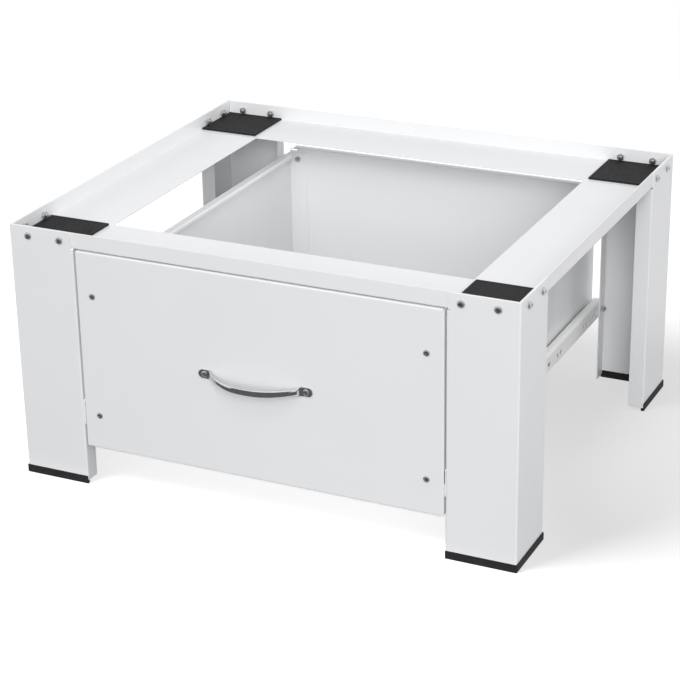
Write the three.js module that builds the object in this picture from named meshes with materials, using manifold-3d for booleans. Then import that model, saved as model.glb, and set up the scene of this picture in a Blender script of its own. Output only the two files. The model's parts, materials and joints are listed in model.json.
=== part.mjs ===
// Washing-machine pedestal with a drawer: a bolted sheet-steel stand on four corner legs, and a
// sheet-steel drawer that runs out of it to the front on bottom-mounted roller slides.
//
// Millimetres, +Z up. -Y is the drawer's front, +X is the right-hand side as seen from the front.
// Each piece is built about the middle of the stand, on the floor. Last, the whole is set back
// until the origin is under the middle of everything, handle and bolt heads included.
//
// Every left-hand piece is the mirror image of its right-hand one, so each paired piece is built
// once, for the +X side, and mirrored.

import * as THREE from 'three';
import { mergeVertices } from 'three/addons/utils/BufferGeometryUtils.js';
import Module from 'manifold-3d';

const wasm = await Module();
wasm.setup();

// ---------------------------------------------------------------- driving dimensions

// The stand, over the outer faces of its legs.
const standWidth = 630;
const standDepth = 540;
const standHeight = 319;

// Legs: one bent sheet each, with two outer faces and a return flange along each inner edge.
const legSheet = 1.5;
const legFace = 84;
const legReturn = 20;
const reliefWidth = 4;
const reliefHeight = 2;

// Feet: a rubber channel pushed onto the bottom edges of a leg's two outer faces.
const footHeight = 10;
const footWall = 1.5;
const footBase = 4;

// Top frame: four angle rails, whose upstands box in the machine that stands on the shelf.
const railSheet = 1.5;
const upstand = 18;
const shelfWidth = 87;
const mitreGap = 0.3;

// Pads under the machine's feet, one in each corner of the shelf.
const padSize = 79;
const padThickness = 2.5;
const padEdgeGap = 1;

// Corner bolts: two through each outer face of each leg.
const boltDiameter = 5;
const boltHole = 5.8;
const boltHeadDiameter = 9;
const boltHeadHeight = 3.2;
const boltLength = 9;
const boltFromTop = 11;
const boltFromCorner = 25;
const boltPitch = 42;

// Drawer front: a pan of thin sheet, its rim turned back on all four sides.
const frontSideGap = 2.2;
const frontTopGap = 1.2;
const frontHeight = 247.3;
const frontRim = 15;
const drawerSheet = 1;
const notchMargin = 4;

// Drawer box behind the front: its sides' top edges lie this far below the front's top edge, and
// its back this far inside the stand's back.
const slideSpace = 13.5;
const boxDrop = 36.3;
const boxHeight = 185;
const boxBackGap = 9.5;
const sideFlange = 25;
const rimFold = 12;
const rimLip = 5;
const rimEndGap = 18;
const floorLedge = 15;
const backRise = 4.8;
const backHem = 9;
const panelScrewInset = 17;
const frontScrewSetback = 9;
const backScrewDrop = 11;

// Panel screws that hold the drawer together.
const screwDiameter = 4;
const screwHole = 4.8;
const screwHeadDiameter = 6.8;
const screwHeadHeight = 2.2;
const screwLength = 8;

// Roller slides.
const slideSheet = 1.2;
const channelHeight = 25;
const channelDepth = 10;
const channelLip = 6;
const channelFrontSetback = 20;
const channelDrop = 8;
const slideFrontGap = 2;
const slideBackGap = 8;
const endTabHeight = 34;
const endTabMargin = 2;
const slideScrewInset = 10;
const rollerDiameter = 22;
const rollerWidth = 6;
const rollerChamfer = 0.8;
const rollerSideGap = 1.3;
const rollerDip = 0.5;
const axleDiameter = 5;
const axleProud = 0.6;
const axleCapDiameter = 8;
const axleCapHeight = 0.8;
const runnerFlange = 9;
const runnerLedge = 13;
const runnerEndGap = 2;
const runnerTrackGap = 3;
const earLength = 31;
const earRise = 7;
const runningGap = 0.3;
const frontRollerSetback = 32;
const rearRollerSetback = 21;
const drawerTravel = 390;
const stopHeight = 3;
const stopLength = 4;
const stopGap = 1;

// Handle: a bowed steel strap with a flattened tab at each end. Its middle lies this far below the
// front's top edge.
const handlePitch = 128;
const handleDrop = 124.8;
const handleReach = 28;
const bowFlatness = 2.3;
const bowOverlap = 2;
const strapHeight = 8.4;
const strapThickness = 4.4;
const tabLength = 16;
const tabHeight = 11;
const tabThickness = 2;

// ---------------------------------------------------------------- worked-out places

const halfWidth = standWidth / 2;
const halfDepth = standDepth / 2;
const shelfTop = standHeight - upstand;
const shelfBottom = shelfTop - railSheet;
const legInnerX = halfWidth - legFace;
const boltHeight = standHeight - boltFromTop;
const boltOffsets = [boltFromCorner, boltFromCorner + boltPitch];

const frontHalfWidth = legInnerX - frontSideGap;
const frontTop = shelfBottom - frontTopGap;
const frontBottom = frontTop - frontHeight;
const frontFace = -halfDepth;

const boxHalfWidth = legInnerX - slideSpace;
const boxTop = frontTop - boxDrop;
const boxBottom = boxTop - boxHeight;
const boxFront = frontFace + drawerSheet;
const boxBack = halfDepth - boxBackGap;
const frontScrewX = boxHalfWidth - frontScrewSetback;
const backScrewX = boxHalfWidth - sideFlange / 2;
const frontScrewHeights = [boxBottom + panelScrewInset, boxTop - panelScrewInset];
const backScrewHeights = [boxBottom + panelScrewInset, boxTop - backScrewDrop];

// The slide's running surfaces: the runner's flange rides on the front roller, and the rear
// roller rides on the channel's bottom flange.
const rollerRadius = rollerDiameter / 2;
const runnerBottom = boxBottom - slideSheet;
const frontRollerAxis = boxBottom + rollerRadius - rollerDip;
const runnerTrack = frontRollerAxis + rollerRadius + runningGap;
const channelBottom = runnerTrack - channelDrop;
const channelTop = channelBottom + channelHeight;
const rearRollerAxis = channelBottom + slideSheet + runningGap + rollerRadius;
const webOuter = legInnerX;
const webInner = webOuter - slideSheet;
const channelMouth = webOuter - channelDepth;
const slideFront = frontFace + slideFrontGap;
const slideBack = halfDepth - slideBackGap;
const frontRollerY = frontFace + frontRollerSetback;
const rearRollerY = boxBack - rearRollerSetback;
const rollerOuterX = webInner - rollerSideGap;
const rollerInnerX = rollerOuterX - rollerWidth;
const stopY = rearRollerY - drawerTravel - rollerRadius - stopGap;
const slideScrewFrontY = frontFace + slideScrewInset;
const slideScrewBackY = halfDepth - slideScrewInset;
const slideScrewHeight = channelBottom + slideScrewInset;

const handleHeight = frontTop - handleDrop;

// Sides on each round form, and how far a cutting tool runs past what it cuts.
const holeSegments = 10;
const screwSegments = 12;
const rollerSegments = 28;
const strapSides = 10;
const bowSteps = 28;
const cutMargin = 1;

// ---------------------------------------------------------------- materials

const material = (color, roughness, metalness) =>
  new THREE.MeshStandardMaterial({ color, roughness, metalness });

const whitePaint = material('#e6e7e9', 0.32, 0);
const slidePaint = material('#eceded', 0.4, 0);
const blackRubber = material('#26272a', 0.85, 0);
const zinc = material('#b4b6b8', 0.35, 1);
const chrome = material('#c9cbcd', 0.16, 1);
const nylon = material('#e9e8e2', 0.5, 0);

// ---------------------------------------------------------------- solid modelling

// A box between two places on each axis, given in either order.
function box(x, y, z) {
  const size = [x, y, z].map(([a, b]) => Math.abs(b - a));
  const middle = [x, y, z].map(([a, b]) => (a + b) / 2);
  return new THREE.BoxGeometry(...size).translate(...middle);
}

// A plan outline raised from one height to another.
function prism(outline, bottom, top) {
  const shape = new THREE.Shape(outline.map(([x, y]) => new THREE.Vector2(x, y)));
  const options = { depth: top - bottom, bevelEnabled: false };
  return new THREE.ExtrudeGeometry(shape, options).translate(0, 0, bottom);
}

// A round bar between two places on the X axis or the Y axis.
function barX([from, to], y, z, diameter, segments = screwSegments) {
  const bar = new THREE.CylinderGeometry(diameter / 2, diameter / 2, to - from, segments);
  return bar.rotateZ(Math.PI / 2).translate((from + to) / 2, y, z);
}

function barY(x, [from, to], z, diameter, segments = screwSegments) {
  const bar = new THREE.CylinderGeometry(diameter / 2, diameter / 2, to - from, segments);
  return bar.translate(x, (from + to) / 2, z);
}

// A closed three.js geometry as a solid that can be joined and cut.
function solid(geometry) {
  const bare = geometry.clone();
  bare.deleteAttribute('normal');
  bare.deleteAttribute('uv');
  const welded = mergeVertices(bare, 1e-4);
  const mesh = new wasm.Mesh({
    numProp: 3,
    vertProperties: new Float32Array(welded.attributes.position.array),
    triVerts: new Uint32Array(welded.index.array),
  });
  return new wasm.Manifold(mesh);
}

function asGeometry(body) {
  const { vertProperties, triVerts } = body.getMesh();
  const geometry = new THREE.BufferGeometry();
  geometry.setAttribute('position', new THREE.BufferAttribute(vertProperties, 3));
  geometry.setIndex(new THREE.BufferAttribute(triVerts, 1));
  geometry.computeVertexNormals();
  return geometry;
}

// Joins the pieces and cuts the tools out of them.
function build(pieces, tools = []) {
  let body = pieces.map(solid).reduce((joined, piece) => joined.add(piece));
  for (const tool of tools) body = body.subtract(solid(tool));
  return asGeometry(body);
}

// The mirror image of a closed geometry, its faces still pointing out.
function mirrored(geometry, signX, signY) {
  const copy = geometry.clone().scale(signX, signY, 1);
  if (signX * signY < 0) {
    const index = copy.index.array;
    for (let i = 0; i < index.length; i += 3) {
      [index[i], index[i + 1]] = [index[i + 1], index[i]];
    }
  }
  copy.computeVertexNormals();
  return copy;
}

function addMesh(parent, name, geometry, finish) {
  const mesh = new THREE.Mesh(geometry, finish);
  mesh.name = name;
  parent.add(mesh);
  return mesh;
}

// ---------------------------------------------------------------- the stand

// The right-hand back leg, with its outer corner at the stand's corner.
function makeLeg() {
  const outer = [halfWidth, halfDepth];
  const facesUpTo = (short, bottom, top) => [
    box([outer[0] - legFace + short, outer[0]], [outer[1] - legSheet, outer[1]], [bottom, top]),
    box([outer[0] - legSheet, outer[0]], [outer[1] - legFace + short, outer[1]], [bottom, top]),
  ];
  const returnTop = shelfBottom - reliefHeight;
  const innerX = outer[0] - legFace;
  const innerY = outer[1] - legFace;
  const returns = [
    box([innerX, innerX + legSheet], [outer[1] - legReturn, outer[1]], [footBase, returnTop]),
    box([outer[0] - legReturn, outer[0]], [innerY, innerY + legSheet], [footBase, returnTop]),
  ];
  const through = (face) => [face - legSheet - cutMargin, face + cutMargin];
  const holes = boltOffsets.flatMap((offset) => [
    barY(outer[0] - offset, through(outer[1]), boltHeight, boltHole, holeSegments),
    barX(through(outer[0]), outer[1] - offset, boltHeight, boltHole, holeSegments),
  ]);
  const slideHole = barX(
    through(innerX + legSheet), slideScrewBackY, slideScrewHeight, screwHole, holeSegments,
  );
  const pieces = [
    ...facesUpTo(0, footBase, returnTop),
    ...facesUpTo(reliefWidth, returnTop, shelfBottom),
    ...facesUpTo(0, shelfBottom, standHeight),
    ...returns,
  ];
  return build(pieces, [...holes, slideHole]);
}

// The rubber channel under the right-hand back leg: an L in plan, a U in section.
function makeFoot() {
  const ring = (grow, inset) => {
    const far = [halfWidth + grow, halfDepth + grow];
    const near = [halfWidth - inset, halfDepth - inset];
    const end = [halfWidth - legFace, halfDepth - legFace];
    return [[end[0], far[1]], [end[0], near[1]], near, [near[0], end[1]], [far[0], end[1]], far];
  };
  const blank = prism(ring(footWall, legSheet + footWall), 0, footHeight);
  const openX = halfWidth - legFace - cutMargin;
  const openY = halfDepth - legFace - cutMargin;
  const innerX = halfWidth - legSheet;
  const innerY = halfDepth - legSheet;
  const grooveTop = footHeight + cutMargin;
  const groove = prism(
    [
      [openX, halfDepth],
      [openX, innerY],
      [innerX, innerY],
      [innerX, openY],
      [halfWidth, openY],
      [halfWidth, halfDepth],
    ],
    footBase,
    grooveTop,
  );
  const returnSlots = [
    box(
      [openX, halfWidth - legFace + legSheet],
      [innerY - footWall - cutMargin, innerY],
      [footBase, grooveTop],
    ),
    box(
      [innerX - footWall - cutMargin, innerX],
      [openY, halfDepth - legFace + legSheet],
      [footBase, grooveTop],
    ),
  ];
  return build([blank], [groove, ...returnSlots]);
}

// An angle rail along the X axis at the back of a frame of this length and half depth: an upstand
// and a shelf, mitred at both ends where they meet the next rails.
function makeRail(length, outerY) {
  const half = length / 2 - mitreGap / 2;
  const innerY = outerY - shelfWidth + legSheet;
  const shelf = prism(
    [
      [half, outerY],
      [-half, outerY],
      [-half + outerY - innerY, innerY],
      [half - outerY + innerY, innerY],
    ],
    shelfBottom,
    shelfTop,
  );
  const wall = prism(
    [
      [half, outerY],
      [-half, outerY],
      [-half + railSheet, outerY - railSheet],
      [half - railSheet, outerY - railSheet],
    ],
    shelfBottom,
    standHeight,
  );
  const holes = boltOffsets.flatMap((offset) =>
    [-1, 1].map((side) =>
      barY(
        side * (length / 2 + legSheet - offset),
        [outerY - railSheet - cutMargin, outerY + cutMargin],
        boltHeight,
        boltHole,
        holeSegments,
      ),
    ),
  );
  return build([shelf, wall], holes);
}

// A machine bolt along +Y, its domed head outside and its shank pointing in; its origin is where
// the head bears.
function makeBolt(diameter, headDiameter, headHeight, length) {
  const r = diameter / 2;
  const R = headDiameter / 2;
  const crownRadius = R * 0.6;
  const edgeHeight = headHeight * 0.4;
  const profile = [
    [0, -length],
    [r, -length],
    [r, 0],
    [R, 0],
    [R, edgeHeight],
    [crownRadius, headHeight],
    [0, headHeight],
  ];
  const points = profile.map(([x, y]) => new THREE.Vector2(x, y));
  return new THREE.LatheGeometry(points, screwSegments);
}

// ---------------------------------------------------------------- the drawer

// A cut through a drawer sheet whose front is at this place.
function throughSheet(front) {
  return [front - cutMargin, front + drawerSheet + cutMargin];
}

// The front panel: a shallow pan, open at the back, with a notch in each side rim where the
// slide's front end and its fixing screw stand beside it.
function makeDrawerFront() {
  const rimBack = frontFace + frontRim;
  const outside = box(
    [-frontHalfWidth, frontHalfWidth], [frontFace, rimBack], [frontBottom, frontTop],
  );
  const inside = box(
    [-frontHalfWidth + drawerSheet, frontHalfWidth - drawerSheet],
    [frontFace + drawerSheet, rimBack + cutMargin],
    [frontBottom + drawerSheet, frontTop - drawerSheet],
  );
  const notchTop = slideScrewHeight + screwHeadDiameter / 2 + notchMargin;
  const notches = [-1, 1].map((side) =>
    box(
      [side * (frontHalfWidth - drawerSheet - cutMargin), side * (frontHalfWidth + cutMargin)],
      [frontFace + drawerSheet, rimBack + cutMargin],
      [boxBottom - notchMargin, notchTop],
    ),
  );
  const holeAt = (x, height) =>
    barY(x, throughSheet(frontFace), height, screwHole, holeSegments);
  const holes = [-1, 1].flatMap((side) => [
    ...frontScrewHeights.map((height) => holeAt(side * frontScrewX, height)),
    holeAt(side * handlePitch / 2, handleHeight),
  ]);
  return build([outside], [inside, ...notches, ...holes]);
}

// The right-hand side of the box: a web with a folded rim at the top that stops short of the
// back, a ledge for the floor at the bottom, and a flange at each end for the front and the back.
function makeDrawerSide() {
  const outer = boxHalfWidth;
  const depth = [boxFront, boxBack];
  const rimDepth = [boxFront, boxBack - rimEndGap];
  const pieces = [
    box([outer - drawerSheet, outer], depth, [boxBottom, boxTop]),
    box([outer - rimFold, outer], rimDepth, [boxTop - drawerSheet, boxTop]),
    box([outer - rimFold, outer - rimFold + drawerSheet], rimDepth, [boxTop - rimLip, boxTop]),
    box([outer - floorLedge, outer], depth, [boxBottom, boxBottom + drawerSheet]),
    box([outer - sideFlange, outer], [boxFront, boxFront + drawerSheet], [boxBottom, boxTop]),
    box([outer - sideFlange, outer], [boxBack - drawerSheet, boxBack], [boxBottom, boxTop]),
  ];
  const frontHoles = frontScrewHeights.map((height) =>
    barY(frontScrewX, throughSheet(boxFront), height, screwHole, holeSegments),
  );
  const backHoles = backScrewHeights.map((height) =>
    barY(backScrewX, throughSheet(boxBack - drawerSheet), height, screwHole, holeSegments),
  );
  return build(pieces, [...frontHoles, ...backHoles]);
}

// The back of the box stands a little above the sides, its top edge turned back as a hem.
function makeDrawerBack() {
  const top = boxTop + backRise;
  const pieces = [
    box([-boxHalfWidth, boxHalfWidth], [boxBack, boxBack + drawerSheet], [boxBottom, top]),
    box([-boxHalfWidth + rimFold / 2, boxHalfWidth - rimFold / 2],
      [boxBack, boxBack + backHem], [top - drawerSheet, top]),
  ];
  const holes = [-1, 1].flatMap((side) =>
    backScrewHeights.map((height) =>
      barY(side * backScrewX, throughSheet(boxBack), height, screwHole, holeSegments),
    ),
  );
  return build(pieces, holes);
}

// The floor lies on the sides' ledges, between their end flanges.
function makeDrawerFloor() {
  const inset = drawerSheet + runningGap;
  return build([
    box(
      [-boxHalfWidth + inset, boxHalfWidth - inset],
      [boxFront + inset, boxBack - inset],
      [boxBottom + drawerSheet, boxBottom + drawerSheet * 2],
    ),
  ]);
}

// The bow leaves each tab at a slant and runs flat across the middle.
class BowCurve extends THREE.Curve {
  getPoint(t, target = new THREE.Vector3()) {
    const half = handlePitch / 2 - tabLength / 2 + bowOverlap;
    const along = (2 * t - 1) * half;
    const reach = handleReach * (1 - Math.abs(along / half) ** bowFlatness);
    return target.set(along, frontFace - tabThickness / 2 - reach, handleHeight);
  }
}

function makeHandle() {
  const w = strapThickness / 2;
  const h = strapHeight / 2;
  const section = new THREE.Shape();
  for (let i = 0; i < strapSides; i += 1) {
    const angle = (i + 0.5) * 2 * Math.PI / strapSides;
    const point = [h * Math.cos(angle), w * Math.sin(angle)];
    if (i === 0) section.moveTo(...point);
    else section.lineTo(...point);
  }
  const bow = new THREE.ExtrudeGeometry(section, {
    steps: bowSteps, bevelEnabled: false, extrudePath: new BowCurve(),
  });
  const tabs = [-1, 1].map((side) => {
    const outline = new THREE.Shape();
    const end = tabLength / 2;
    const round = tabHeight / 2;
    outline.moveTo(-end, -round);
    outline.lineTo(end - round, -round);
    outline.absarc(end - round, 0, round, -Math.PI / 2, Math.PI / 2, false);
    outline.lineTo(-end, round);
    outline.closePath();
    const plate = new THREE.ExtrudeGeometry(outline, {
      depth: tabThickness, bevelEnabled: false, curveSegments: 8,
    });
    plate.rotateX(Math.PI / 2);
    if (side < 0) plate.rotateZ(Math.PI).translate(0, -tabThickness, 0);
    return plate.translate(side * handlePitch / 2, frontFace, handleHeight);
  });
  const behind = box([-handlePitch, handlePitch], [frontFace, frontFace + handleReach],
    [handleHeight - tabHeight, handleHeight + tabHeight]);
  const tabSpan = [frontFace - tabThickness - cutMargin, frontFace + cutMargin];
  const holes = [-1, 1].map((side) =>
    barY(side * handlePitch / 2, tabSpan, handleHeight, screwHole),
  );
  return build([bow, ...tabs], [behind, ...holes]);
}

// ---------------------------------------------------------------- the roller slides

// The right-hand channel, fixed inside the legs' return flanges. It opens towards the drawer,
// and a tab at its front carries the front roller's axle below the channel.
function makeSlideChannel() {
  const web = [webInner, webOuter];
  const body = [frontFace + channelFrontSetback, slideBack];
  const flangeFront = frontRollerY + rollerRadius + endTabMargin;
  const capX = rollerInnerX - axleProud;
  const pieces = [
    box(web, body, [channelBottom, channelTop]),
    box([channelMouth, webOuter], body, [channelTop - slideSheet, channelTop]),
    box([channelMouth, channelMouth + slideSheet], body, [channelTop - channelLip, channelTop]),
    box([channelMouth, webOuter], [flangeFront, slideBack],
      [channelBottom, channelBottom + slideSheet]),
    box(web, [slideFront, flangeFront], [runnerBottom, runnerBottom + endTabHeight]),
    box([rollerInnerX, webInner], [stopY - stopLength, stopY],
      [channelBottom, channelBottom + slideSheet + stopHeight]),
    barX([capX, webInner], frontRollerY, frontRollerAxis, axleDiameter),
    barX([capX - axleCapHeight, capX], frontRollerY, frontRollerAxis, axleCapDiameter),
  ];
  const throughWeb = [webInner - cutMargin, webOuter + cutMargin];
  const holes = [slideScrewFrontY, slideScrewBackY].map((y) =>
    barX(throughWeb, y, slideScrewHeight, screwHole, holeSegments),
  );
  return build(pieces, holes);
}

// The right-hand runner, fixed under the drawer's side. Its flange runs on the front roller, and
// an ear at its back end carries the rear roller inside the channel.
function makeSlideRunner() {
  const web = [boxHalfWidth, boxHalfWidth + slideSheet];
  const length = [boxFront + frontRim, boxBack - runnerEndGap];
  const trackEnd = rearRollerY - rollerRadius - runnerTrackGap;
  const pieces = [
    box(web, length, [runnerBottom, runnerTrack + slideSheet]),
    box([boxHalfWidth - runnerLedge, web[1]], length, [runnerBottom, boxBottom]),
    box([boxHalfWidth, boxHalfWidth + runnerFlange], [length[0], trackEnd],
      [runnerTrack, runnerTrack + slideSheet]),
    box(web, [length[1] - earLength, length[1]], [runnerBottom, rearRollerAxis + earRise]),
    barX([web[1], rollerOuterX + axleProud], rearRollerY, rearRollerAxis, axleDiameter),
  ];
  return build(pieces);
}

// A roller of turned nylon on its axle, its axis along X and its middle at the origin.
function makeRoller() {
  const bore = axleDiameter / 2 + runningGap;
  const half = rollerWidth / 2;
  const profile = [
    [bore, -half],
    [rollerRadius - rollerChamfer, -half],
    [rollerRadius, -half + rollerChamfer],
    [rollerRadius, half - rollerChamfer],
    [rollerRadius - rollerChamfer, half],
    [bore, half],
    [bore, -half],
  ];
  const points = profile.map(([x, y]) => new THREE.Vector2(x, y));
  const roller = new THREE.LatheGeometry(points, rollerSegments);
  return roller.rotateZ(Math.PI / 2);
}

// ---------------------------------------------------------------- assembly

const pedestal = new THREE.Group();
const stand = new THREE.Group();
const drawer = new THREE.Group();
pedestal.add(stand, drawer);

const corners = [
  ['front_left', -1, -1],
  ['front_right', 1, -1],
  ['back_left', -1, 1],
  ['back_right', 1, 1],
];
const sides = [
  ['left', -1],
  ['right', 1],
];

const leg = makeLeg();
const foot = makeFoot();
const padOuterX = halfWidth - legSheet - railSheet - padEdgeGap;
const padOuterY = halfDepth - legSheet - railSheet - padEdgeGap;
const pad = box([padOuterX - padSize, padOuterX], [padOuterY - padSize, padOuterY],
  [shelfTop, shelfTop + padThickness]);
const cornerBolt = makeBolt(boltDiameter, boltHeadDiameter, boltHeadHeight, boltLength);
const panelScrew = makeBolt(screwDiameter, screwHeadDiameter, screwHeadHeight, screwLength);

for (const [corner, signX, signY] of corners) {
  addMesh(stand, `leg_${corner}`, mirrored(leg, signX, signY), whitePaint);
  addMesh(stand, `foot_${corner}`, mirrored(foot, signX, signY), blackRubber);
  addMesh(stand, `pad_${corner}`, mirrored(pad, signX, signY), blackRubber);
  boltOffsets.forEach((offset, i) => {
    const ahead = addMesh(stand, `corner_bolt_${corner}_y${i + 1}`, cornerBolt, zinc);
    ahead.position.set(signX * (halfWidth - offset), signY * halfDepth, boltHeight);
    ahead.rotation.z = signY > 0 ? 0 : Math.PI;
    const aside = addMesh(stand, `corner_bolt_${corner}_x${i + 1}`, cornerBolt, zinc);
    aside.position.set(signX * halfWidth, signY * (halfDepth - offset), boltHeight);
    aside.rotation.z = -signX * Math.PI / 2;
  });
}

const longRail = makeRail(standWidth - 2 * legSheet, halfDepth - legSheet);
const shortRail = makeRail(standDepth - 2 * legSheet, halfWidth - legSheet);
addMesh(stand, 'top_rail_back', longRail, whitePaint);
addMesh(stand, 'top_rail_front', mirrored(longRail, 1, -1), whitePaint);
addMesh(stand, 'top_rail_left', shortRail.clone().rotateZ(Math.PI / 2), whitePaint);
addMesh(stand, 'top_rail_right', shortRail.clone().rotateZ(-Math.PI / 2), whitePaint);

addMesh(drawer, 'drawer_front', makeDrawerFront(), whitePaint);
addMesh(drawer, 'drawer_back', makeDrawerBack(), whitePaint);
addMesh(drawer, 'drawer_floor', makeDrawerFloor(), whitePaint);
addMesh(drawer, 'handle', makeHandle(), chrome);

const drawerSide = makeDrawerSide();
const channel = makeSlideChannel();
const runner = makeSlideRunner();
const roller = makeRoller();
const rollerMiddle = (rollerInnerX + rollerOuterX) / 2;

for (const [side, signX] of sides) {
  addMesh(drawer, `drawer_side_${side}`, mirrored(drawerSide, signX, 1), whitePaint);
  addMesh(stand, `slide_channel_${side}`, mirrored(channel, signX, 1), slidePaint);
  addMesh(drawer, `slide_runner_${side}`, mirrored(runner, signX, 1), slidePaint);

  const frontRoller = addMesh(stand, `front_roller_${side}`, roller, nylon);
  frontRoller.position.set(signX * rollerMiddle, frontRollerY, frontRollerAxis);
  const rearRoller = addMesh(drawer, `rear_roller_${side}`, roller, nylon);
  rearRoller.position.set(signX * rollerMiddle, rearRollerY, rearRollerAxis);

  [['front', slideScrewFrontY], ['back', slideScrewBackY]].forEach(([end, y]) => {
    const screw = addMesh(stand, `slide_screw_${end}_${side}`, panelScrew, zinc);
    screw.position.set(signX * webInner, y, slideScrewHeight);
    screw.rotation.z = signX * Math.PI / 2;
  });
  ['bottom', 'top'].forEach((level, i) => {
    const screw = addMesh(drawer, `front_screw_${level}_${side}`, panelScrew, zinc);
    screw.position.set(signX * frontScrewX, frontFace, frontScrewHeights[i]);
    screw.rotation.z = Math.PI;
    const backScrew = addMesh(drawer, `back_screw_${level}_${side}`, panelScrew, zinc);
    backScrew.position.set(signX * backScrewX, boxBack + drawerSheet, backScrewHeights[i]);
  });
  const handleScrew = addMesh(drawer, `handle_screw_${side}`, panelScrew, zinc);
  handleScrew.position.set(signX * handlePitch / 2, frontFace - tabThickness, handleHeight);
  handleScrew.rotation.z = Math.PI;
}

const handleProud = handleReach + tabThickness / 2 + strapThickness / 2;
pedestal.position.y = (handleProud - boltHeadHeight) / 2;

export default pedestal;
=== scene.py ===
"""A washing-machine pedestal with a drawer: the sheet metal, slides, rubber, handle and fixings that
show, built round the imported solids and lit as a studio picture."""

import json
import math

import bmesh
import bpy
from mathutils import Matrix, Vector

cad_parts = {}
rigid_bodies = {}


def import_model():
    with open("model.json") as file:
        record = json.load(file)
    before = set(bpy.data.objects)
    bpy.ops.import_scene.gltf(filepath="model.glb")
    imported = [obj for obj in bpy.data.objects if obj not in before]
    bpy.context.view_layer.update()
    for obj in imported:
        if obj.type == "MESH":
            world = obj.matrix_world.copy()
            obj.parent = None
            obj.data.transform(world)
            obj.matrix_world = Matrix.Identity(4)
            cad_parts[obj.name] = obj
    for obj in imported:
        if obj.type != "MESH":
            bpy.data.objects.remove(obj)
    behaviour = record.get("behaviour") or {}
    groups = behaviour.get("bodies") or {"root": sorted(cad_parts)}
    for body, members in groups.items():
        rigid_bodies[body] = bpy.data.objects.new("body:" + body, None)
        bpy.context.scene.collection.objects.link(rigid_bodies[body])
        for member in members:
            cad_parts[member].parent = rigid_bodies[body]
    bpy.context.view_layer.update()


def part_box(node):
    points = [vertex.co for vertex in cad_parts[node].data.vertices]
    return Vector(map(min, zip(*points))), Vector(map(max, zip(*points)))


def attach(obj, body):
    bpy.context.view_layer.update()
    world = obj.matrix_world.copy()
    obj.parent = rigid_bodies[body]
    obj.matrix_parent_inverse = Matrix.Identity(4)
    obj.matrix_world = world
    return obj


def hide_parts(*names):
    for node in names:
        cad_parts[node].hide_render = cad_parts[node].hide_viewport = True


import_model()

MM = 0.001
# Lengths, in metres, and angles, in radians, below this count as nothing.
TINY = 1e-6
SIDES = (("left", -1), ("right", 1))
CORNERS = (
    ("front_left", -1, -1),
    ("front_right", 1, -1),
    ("back_left", -1, 1),
    ("back_right", 1, 1),
)
BEND_STEPS = 5
SURFACE = "_surface"


def new_object(name, data):
    """An object in the scene for this mesh, lamp or camera."""
    item = bpy.data.objects.new(name, data)
    bpy.context.scene.collection.objects.link(item)
    return item


def around(radius, angle):
    """The place on a circle at this angle."""
    return radius * math.cos(angle), radius * math.sin(angle)


def quarter_turn(steps=BEND_STEPS):
    """Angles from 0 to a right angle, evenly spaced."""
    return [math.pi / 2 * step / steps for step in range(steps + 1)]


# ---------------- materials

# Most values of a noise lie between these.
NOISE_SPAN = (0.3, 0.7)


def new_material(slot):
    """A material for one of the record's slots, and its shader."""
    material = bpy.data.materials.new(slot + SURFACE)
    material.use_nodes = True
    return material, material.node_tree.nodes["Principled BSDF"]


def fill(node, **values):
    """Sets a node's inputs and settings, or links an input where the value is another node's
    output. An underscore in an input's name stands for a space."""
    for key, value in values.items():
        title = key.replace("_", " ")
        if isinstance(value, bpy.types.NodeSocket):
            node.id_data.links.new(value, node.inputs[title])
        elif title in node.inputs:
            node.inputs[title].default_value = value
        else:
            setattr(node, key, value)
    return node


def add(tree, kind, **values):
    """A new node, filled with these values."""
    return fill(tree.nodes.new(kind), **values)


def noise(tree, scale, detail=2.0, roughness=0.5):
    """Noise in the object's own space, so many cells to a metre."""
    place = add(tree, "ShaderNodeTexCoord").outputs["Object"]
    node = add(tree, "ShaderNodeTexNoise", Vector=place, Scale=scale, Detail=detail,
               Roughness=roughness)
    return node.outputs["Fac"]


def map_range(tree, source, given, wanted, curve="LINEAR"):
    """Turns a value's given range into the wanted one."""
    node = add(tree, "ShaderNodeMapRange", interpolation_type=curve, Value=source,
               From_Min=given[0], From_Max=given[1], To_Min=wanted[0], To_Max=wanted[1])
    return node.outputs["Result"]


def surface(slot, colour, *, shades, cloud, gloss, roughness, relief, height, **constants):
    """A material whose colour, roughness and relief each follow a noise of their own.

    cloud, gloss and relief are those noises: cells to a metre, then detail and roughness. The
    cloud runs between the two shades, as shares of the colour, and the gloss between two values
    of roughness. height is the relief's, in metres. The constants are set on the shader.
    """
    material, shader = new_material(slot)
    tree = material.node_tree
    low, high = ((*(part * shade for part in colour), 1) for shade in shades)
    share = map_range(tree, noise(tree, *cloud), NOISE_SPAN, (0, 1))
    mixed = add(tree, "ShaderNodeMix", data_type="RGBA", Factor=share, A=low, B=high)
    bump = add(tree, "ShaderNodeBump", Strength=1.0, Distance=height, Height=noise(tree, *relief))
    fill(shader, Base_Color=mixed.outputs["Result"], Normal=bump.outputs["Normal"],
         Roughness=map_range(tree, noise(tree, *gloss), NOISE_SPAN, roughness), **constants)
    return material


def coated_steel(slot, colour, roughness, peel_height, coat):
    """Sprayed and baked coating: orange peel, a faint unevenness and a clear top layer."""
    return surface(slot, colour, shades=(0.985, 1), cloud=(9, 3), gloss=(40, 1),
                   roughness=roughness, relief=(260, 1), height=peel_height,
                   Coat_Weight=coat, Coat_Roughness=0.12)


def rubber(slot, colour, grain_height):
    """Moulded black rubber with a fine grain and a dusty bloom."""
    return surface(slot, colour, shades=(1, 1.5), cloud=(45, 4, 0.6), gloss=(300,),
                   roughness=(0.62, 0.78), relief=(500, 3), height=grain_height,
                   Specular_IOR_Level=0.25)


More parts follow.
